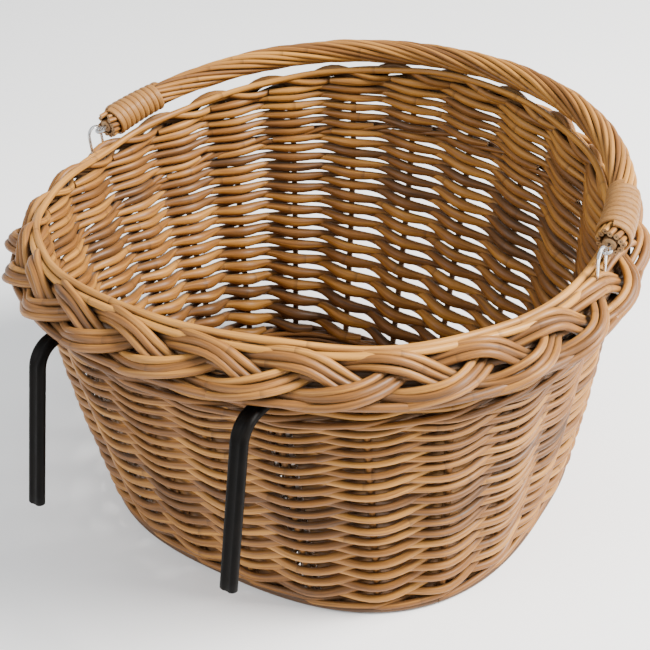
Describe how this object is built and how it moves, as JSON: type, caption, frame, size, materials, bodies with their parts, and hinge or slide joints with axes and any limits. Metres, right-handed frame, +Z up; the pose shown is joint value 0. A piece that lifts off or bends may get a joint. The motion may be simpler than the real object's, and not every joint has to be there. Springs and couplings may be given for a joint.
{
  "type": "handlebar basket",
  "caption": "Oval woven willow bicycle basket with a plaited border, a roped handle that folds down onto the rim, and sleeved steel hooks that hang over a handlebar.",
  "frame": {"origin": "on the surface the basket stands on, below the middle of the oval border and of the handle's hinge axis", "axes": "+Z up, +X along the long axis of the oval towards the rider's right, -Y towards the rider, the side with the hooks"},
  "size_m": [0.3832, 0.3878, 0.2292],
  "materials": {
    "willow": "buff willow rods with a low satin sheen, honey brown, darker where rods cross",
    "cane": "smooth split cane with a satin sheen",
    "sleeve_black": "black extruded plastic sleeve, satin",
    "steel_wire": "bright drawn steel wire"
  },
  "bodies": {
    "basket": {"base_weave": "willow", "base_stick_long_1": "willow", "base_stick_long_2": "willow", "base_stick_long_3": "willow", "base_stick_short_1": "willow", "base_stick_short_2": "willow", "base_stick_short_3": "willow", "base_stick_short_4": "willow", "base_stick_short_5": "willow", "base_stick_short_6": "willow", "upsett_wale": "willow", "side_weave": "willow", "top_wale": "willow", "stake_01": "willow", "stake_02": "willow", "stake_03": "willow", "stake_04": "willow", "stake_05": "willow", "stake_06": "willow", "stake_07": "willow", "stake_08": "willow", "stake_09": "willow", "stake_10": "willow", "stake_11": "willow", "stake_12": "willow", "stake_13": "willow", "stake_14": "willow", "stake_15": "willow", "stake_16": "willow", "stake_17": "willow", "stake_18": "willow", "stake_19": "willow", "stake_20": "willow", "stake_21": "willow", "stake_22": "willow", "stake_23": "willow", "stake_24": "willow", "plait_strand_1": "willow", "plait_strand_2": "willow", "plait_strand_3": "willow", "staple_left": "steel_wire", "staple_right": "steel_wire", "hook_wire_left": "steel_wire", "hook_wire_right": "steel_wire", "hook_sleeve_left": "sleeve_black", "hook_sleeve_right": "sleeve_black"},
    "handle": {"handle_core": "willow", "handle_rope_1": "willow", "handle_rope_2": "willow", "handle_rope_3": "willow", "handle_rope_4": "willow", "whipping_left": "cane", "whipping_right": "cane", "split_pin_left": "steel_wire", "split_pin_right": "steel_wire"}
  },
  "joints": [
    {"name": "handle_swing", "type": "hinge", "parent": "basket", "child": "handle", "pos_m": [0, 0, 0.203], "axis": [1, 0, 0], "range_deg": [0, 166]}
  ]
}
